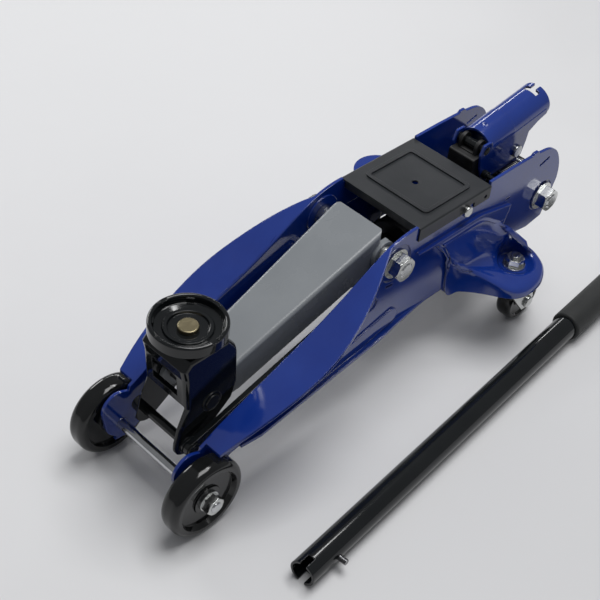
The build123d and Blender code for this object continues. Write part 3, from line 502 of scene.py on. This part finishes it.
def wingLoops(place):
    # the points under one another at this place round the stem, from the hole to the skirt
    turn = angleAt(place)
    aim = Vector((math.cos(turn), math.sin(turn), 0))
    stem = Vector((*wing["stem"], 0))
    column = [stem + aim * radius + Vector((0, 0, high)) for radius, high in wing["rounds"]]
    radius, high, _ = smoothAt([(*pair, 0) for pair in wing["dishRim"]], place)
    column.append(stem + aim * radius + Vector((0, 0, high)))
    column += [smoothAt(wing[key], place) for key in ("slope", "crease", "edge", "skirt")]
    return column


def wingColumn(place):
    # eased points between the keys, so that the sheet bends softly from one to the next
    keys = wingLoops(place)
    steps = wing["between"]
    points = []
    for index in range(len(keys) - 1):
        a, b = keys[max(index - 1, 0)], keys[index]
        c, d = keys[index + 1], keys[min(index + 2, len(keys) - 1)]
        reach = (c - b).length
        before = (b - a).normalized() * min(reach, (b - a).length) if index else (c - b)
        after = (d - c).normalized() * min(reach, (d - c).length) if d != c else (c - b)
        start, finish = ((c - b) + before) / 2, ((c - b) + after) / 2
        for step in range(steps):
            t = step / steps
            points.append(b * (2 * t ** 3 - 3 * t ** 2 + 1) + start * (t ** 3 - 2 * t ** 2 + t)
                          + c * (3 * t ** 2 - 2 * t ** 3) + finish * (t ** 3 - t ** 2))
    points.append(keys[-1])
    return points


def makeWing(side):
    # side is -1 for the left plate and 1 for the right one
    rows = len(wingColumn(0.0))
    around = wing["around"]
    clearSelection()
    bpy.ops.mesh.primitive_grid_add(x_subdivisions=around, y_subdivisions=rows - 1, size=1)
    sheet = bpy.context.object
    sheet.name = "casterWing"
    stations = len(wing["edge"])
    for column in range(around + 1):
        points = wingColumn(column % around * stations / around)
        for row in range(rows):
            x, y, z = points[row]
            sheet.data.vertices[row * (around + 1) + column].co = (x * mm, -side * y * mm, z * mm)
    pickOnly(sheet)
    bpy.ops.object.mode_set(mode="EDIT")
    bpy.ops.mesh.select_all(action="SELECT")
    bpy.ops.mesh.remove_doubles(threshold=wing["merge"] * mm)
    bpy.ops.mesh.normals_make_consistent(inside=False)
    bpy.ops.object.mode_set(mode="OBJECT")
    outmost = max(sheet.data.polygons, key=lambda face: face.center.y * side)
    if outmost.normal.y * side < 0:
        bpy.ops.object.mode_set(mode="EDIT")
        bpy.ops.mesh.select_all(action="SELECT")
        bpy.ops.mesh.flip_normals()
        bpy.ops.object.mode_set(mode="OBJECT")
    useModifier(sheet, "SOLIDIFY", thickness=wing["sheet"] * mm, offset=-1.0)
    return sheet


mergeGap = 0.001 * mm


def copyOfNode(name, newName):
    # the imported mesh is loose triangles, so the copy is merged first
    copy = nodes[name].copy()
    copy.data = nodes[name].data.copy()
    copy.name = newName
    bpy.context.scene.collection.objects.link(copy)
    pickOnly(copy)
    bpy.ops.object.mode_set(mode="EDIT")
    bpy.ops.mesh.select_all(action="SELECT")
    bpy.ops.mesh.remove_doubles(threshold=mergeGap)
    bpy.ops.object.mode_set(mode="OBJECT")
    return copy


# crown edge of each side plate, in mm: on the wall's inner face, above a line that climbs backwards
crown = dict(wall=35.7, near=0.05, start=13.0, stop=180.0, fade=34.0, low=60.0, climb=0.38,
             up=0.5, across=0.9, round=1.9, segments=3, flat=0.5, speck=0.02)


def onCrownLine(point):
    onWall = abs(abs(point.y) - crown["wall"]) <= crown["near"]
    inSpan = crown["start"] < point.x < crown["stop"]
    return onWall and inSpan and point.z >= crown["low"] + crown["climb"] * point.x


def roundCrown(plateCopy):
    # the sheet turns outwards along the upper edge in a soft bend that fades out at both ends
    pickOnly(plateCopy)
    bpy.ops.object.mode_set(mode="EDIT")
    bpy.ops.mesh.select_all(action="SELECT")
    bpy.ops.mesh.dissolve_limited(angle_limit=math.radians(crown["flat"]))
    bpy.ops.mesh.select_all(action="SELECT")
    bpy.ops.mesh.dissolve_degenerate(threshold=crown["speck"] * mm)
    bpy.ops.object.mode_set(mode="OBJECT")
    mesh = plateCopy.data
    facesOf = {}
    for face in mesh.polygons:
        for key in face.edge_keys:
            facesOf.setdefault(key, []).append(face)
    weights = mesh.attributes.new("bevel_weight_edge", "FLOAT", "EDGE")
    picked = 0
    for edge in mesh.edges:
        ends = [mesh.vertices[index].co / mm for index in edge.vertices]
        if not all(onCrownLine(end) for end in ends):
            continue
        faces = facesOf.get(tuple(sorted(edge.vertices)), [])
        topToWall = (len(faces) == 2 and max(face.normal.z for face in faces) > crown["up"]
                     and any(abs(face.normal.y) > crown["across"] for face in faces))
        if topToWall:
            along = (ends[0].x + ends[1].x) / 2
            room = min(along - crown["start"], crown["stop"] - along)
            weights.data[edge.index].value = min(1.0, room / crown["fade"])
            picked += 1
    useModifier(plateCopy, "BEVEL", limit_method="WEIGHT", width=crown["round"] * mm,
                segments=crown["segments"], use_clamp_overlap=False)
    print("stage: crown edges rounded on", plateCopy.name, picked)


def sharpenByAngle(obj, degrees):
    # an edge is sharp where its two faces turn by more than the angle, whatever was marked before
    mesh = obj.data
    turnsOf = {}
    for face in mesh.polygons:
        for key in face.edge_keys:
            turnsOf.setdefault(key, []).append(face.normal.copy())
    limit = math.cos(math.radians(degrees))
    for edge in mesh.edges:
        pair = turnsOf.get(tuple(sorted(edge.vertices)), [])
        edge.use_edge_sharp = len(pair) == 2 and pair[0].dot(pair[1]) < limit


# how the dressed plates are shaded: sharp edges above the angle, and normals that follow large faces
plateShade = dict(sharpAngle=28, areaWeight=80)


def dressPlate(node, newName, side):
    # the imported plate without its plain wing, and the drawn wing in its place
    plateCopy = copyOfNode(node, newName)
    clearSelection()
    low, high = wing["cutLow"], wing["cutHigh"]
    span = [(b - a) * mm for a, b in zip(low, high)]
    centre = [(a + b) / 2 * mm for a, b in zip(low, high)]
    bpy.ops.mesh.primitive_cube_add(size=1, scale=span,
                                    location=(centre[0], -side * centre[1], centre[2]))
    cutter = bpy.context.object
    settle(cutter)
    useModifier(plateCopy, "BOOLEAN", operation="DIFFERENCE", solver="EXACT", object=cutter)
    bpy.data.objects.remove(cutter)
    roundCrown(plateCopy)
    sheet = makeWing(side)
    clearSelection()
    sheet.select_set(True)
    plateCopy.select_set(True)
    bpy.context.view_layer.objects.active = plateCopy
    bpy.ops.object.join()
    pickOnly(plateCopy)
    bpy.ops.object.shade_smooth()
    sharpenByAngle(plateCopy, plateShade["sharpAngle"])
    useModifier(plateCopy, "WEIGHTED_NORMAL", keep_sharp=True,
                weight=plateShade["areaWeight"])
    dress(plateCopy, finishes["blueEnamel"])
    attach(plateCopy, "frame")
    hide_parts(node)


dressPlate("side_plate_left", "sidePlateLeft", -1)
dressPlate("side_plate_right", "sidePlateRight", 1)
print("stage: wings drawn out of the side plates")

# return spring as a real coil between its stud and anchor, with a round eye at each end
spring = dict(wire=0.62 * mm, turns=10, ring=10, steps=18, hook=6 * mm,
              eye=3.4 * mm, eyeSegments=24, eyeRing=8)


def makeSpring():
    studs, anchors = middleOf("spring_studs"), middleOf("spring_anchors")
    low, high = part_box("return_springs")
    across = (low[1] + high[1]) / 2
    outer = (high[1] - low[1]) / 2
    start = Vector((studs.x, across, studs.z))
    run = Vector((anchors.x, across, anchors.z)) - start
    coilRadius = outer - spring["wire"]
    coilLength = run.length - 2 * spring["hook"]
    pieces = []
    clearSelection()
    bpy.ops.mesh.primitive_circle_add(vertices=spring["ring"], radius=spring["wire"],
                                      fill_type="NOTHING", rotation=(math.pi / 2, 0, 0),
                                      location=(coilRadius, 0, spring["hook"]))
    coil = bpy.context.object
    settle(coil)
    useModifier(coil, "SCREW", axis="Z", angle=2 * math.pi, iterations=spring["turns"],
                screw_offset=coilLength / spring["turns"], steps=spring["steps"],
                render_steps=spring["steps"], use_merge_vertices=True)
    pieces.append(coil)
    for height in (0.0, run.length):
        clearSelection()
        bpy.ops.mesh.primitive_torus_add(major_radius=spring["eye"], minor_radius=spring["wire"],
                                         major_segments=spring["eyeSegments"],
                                         minor_segments=spring["eyeRing"],
                                         location=(0, 0, height), rotation=(math.pi / 2, 0, 0))
        pieces.append(bpy.context.object)
    clearSelection()
    for piece in pieces:
        piece.select_set(True)
    bpy.context.view_layer.objects.active = coil
    bpy.ops.object.join()
    coil.name = "returnSpring"
    coil.matrix_world = Matrix.Translation(start) @ run.to_track_quat("Z", "Y").to_matrix().to_4x4()
    settle(coil)
    pickOnly(coil)
    bpy.ops.object.mode_set(mode="EDIT")
    bpy.ops.mesh.select_all(action="SELECT")
    bpy.ops.mesh.normals_make_consistent(inside=False)
    bpy.ops.object.mode_set(mode="OBJECT")
    bpy.ops.object.shade_smooth()
    dress(coil, finishes["oiledSteel"])
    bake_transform(coil)
    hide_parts("return_springs")


makeSpring()
print("stage: spring wound")

# studio floor and light, in metres
floorSheet = dict(size=6.0, place=(0.2, 0, 0), tone=(0.70, 0.70, 0.71), dip=0.97, cloud=3.0,
                  rough=(0.42, 0.52))


def makeFloor():
    clearSelection()
    bpy.ops.mesh.primitive_plane_add(size=floorSheet["size"], location=floorSheet["place"])
    floor = bpy.context.object
    floor.name = "floorSheet"
    settle(floor)
    material, tree, shader = startMaterial("paleFloor")
    base = floorSheet["tone"]
    darker = [value * floorSheet["dip"] for value in base]
    tone = placeGroup(tree, mottleGroup, Scale=floorSheet["cloud"], Dark=(*darker, 1), Light=(*base, 1))
    link = tree.links.new
    link(tone.outputs["Color"], shader.inputs["Base Color"])
    link(mapValue(tree, tone.outputs["Mask"], *floorSheet["rough"]), shader.inputs["Roughness"])
    dress(floor, material)


makeFloor()

# each softbox: its place and size in metres, and its power in watts
softboxes = {
    "overBox": dict(place=(0.5, -0.1, 2.1), size=(1.3, 1.2), power=29.0),
    "backBox": dict(place=(0.3, 2.0, 1.0), size=(1.0, 0.5), power=12.0),
    "edgeStrip": dict(place=(1.35, 1.4, 0.8), size=(1.2, 0.08), power=3.6),
    "lampStrip0": dict(place=(0.75, 0.05, 1.5), size=(0.8, 0.04), power=1.4),
    "lampStrip1": dict(place=(0.75, 0.32, 1.5), size=(0.8, 0.04), power=1.4),
}
air = dict(aim=(0.2, 0.0, 0.06), skyTone=(0.95, 0.97, 1.0), skyPower=0.22)


def addSoftbox(name):
    box = softboxes[name]
    light = bpy.data.lights.new(name, "AREA")
    light.shape = "RECTANGLE"
    light.size, light.size_y = box["size"]
    light.energy = box["power"]
    holder = bpy.data.objects.new(name, light)
    bpy.context.scene.collection.objects.link(holder)
    holder.location = box["place"]
    towards = Vector(air["aim"]) - Vector(box["place"])
    holder.rotation_euler = towards.to_track_quat("-Z", "Y").to_euler()


def fillAir():
    world = bpy.data.worlds.new("studioAir")
    bpy.context.scene.world = world
    world.use_nodes = True
    sky = world.node_tree.nodes["Background"]
    sky.inputs["Color"].default_value = (*air["skyTone"], 1.0)
    sky.inputs["Strength"].default_value = air["skyPower"]
    bpy.context.scene.view_settings.view_transform = "Standard"


for name in softboxes:
    addSoftbox(name)
fillAir()

# camera at the viewing angle: place, lens and sensor in mm, clip in metres
shot = dict(place=(-361.6, -422.4, 683.3), azimuth=-49.6, elevation=42.1, roll=6.7, lens=73.6,
            sensor=36.0, clip=0.01)


def addCamera():
    data = bpy.data.cameras.new("mainCamera")
    data.sensor_width = shot["sensor"]
    data.lens = shot["lens"]
    data.clip_start = shot["clip"]
    camera = bpy.data.objects.new("mainCamera", data)
    bpy.context.scene.collection.objects.link(camera)
    turn = Euler((math.radians(90 - shot["elevation"]), 0, math.radians(shot["azimuth"])))
    roll = Matrix.Rotation(math.radians(shot["roll"]), 4, "Z")
    place = Matrix.Translation([v * mm for v in shot["place"]])
    camera.matrix_world = place @ turn.to_matrix().to_4x4() @ roll
    bpy.context.scene.camera = camera


addCamera()
print("stage: studio and camera ready")
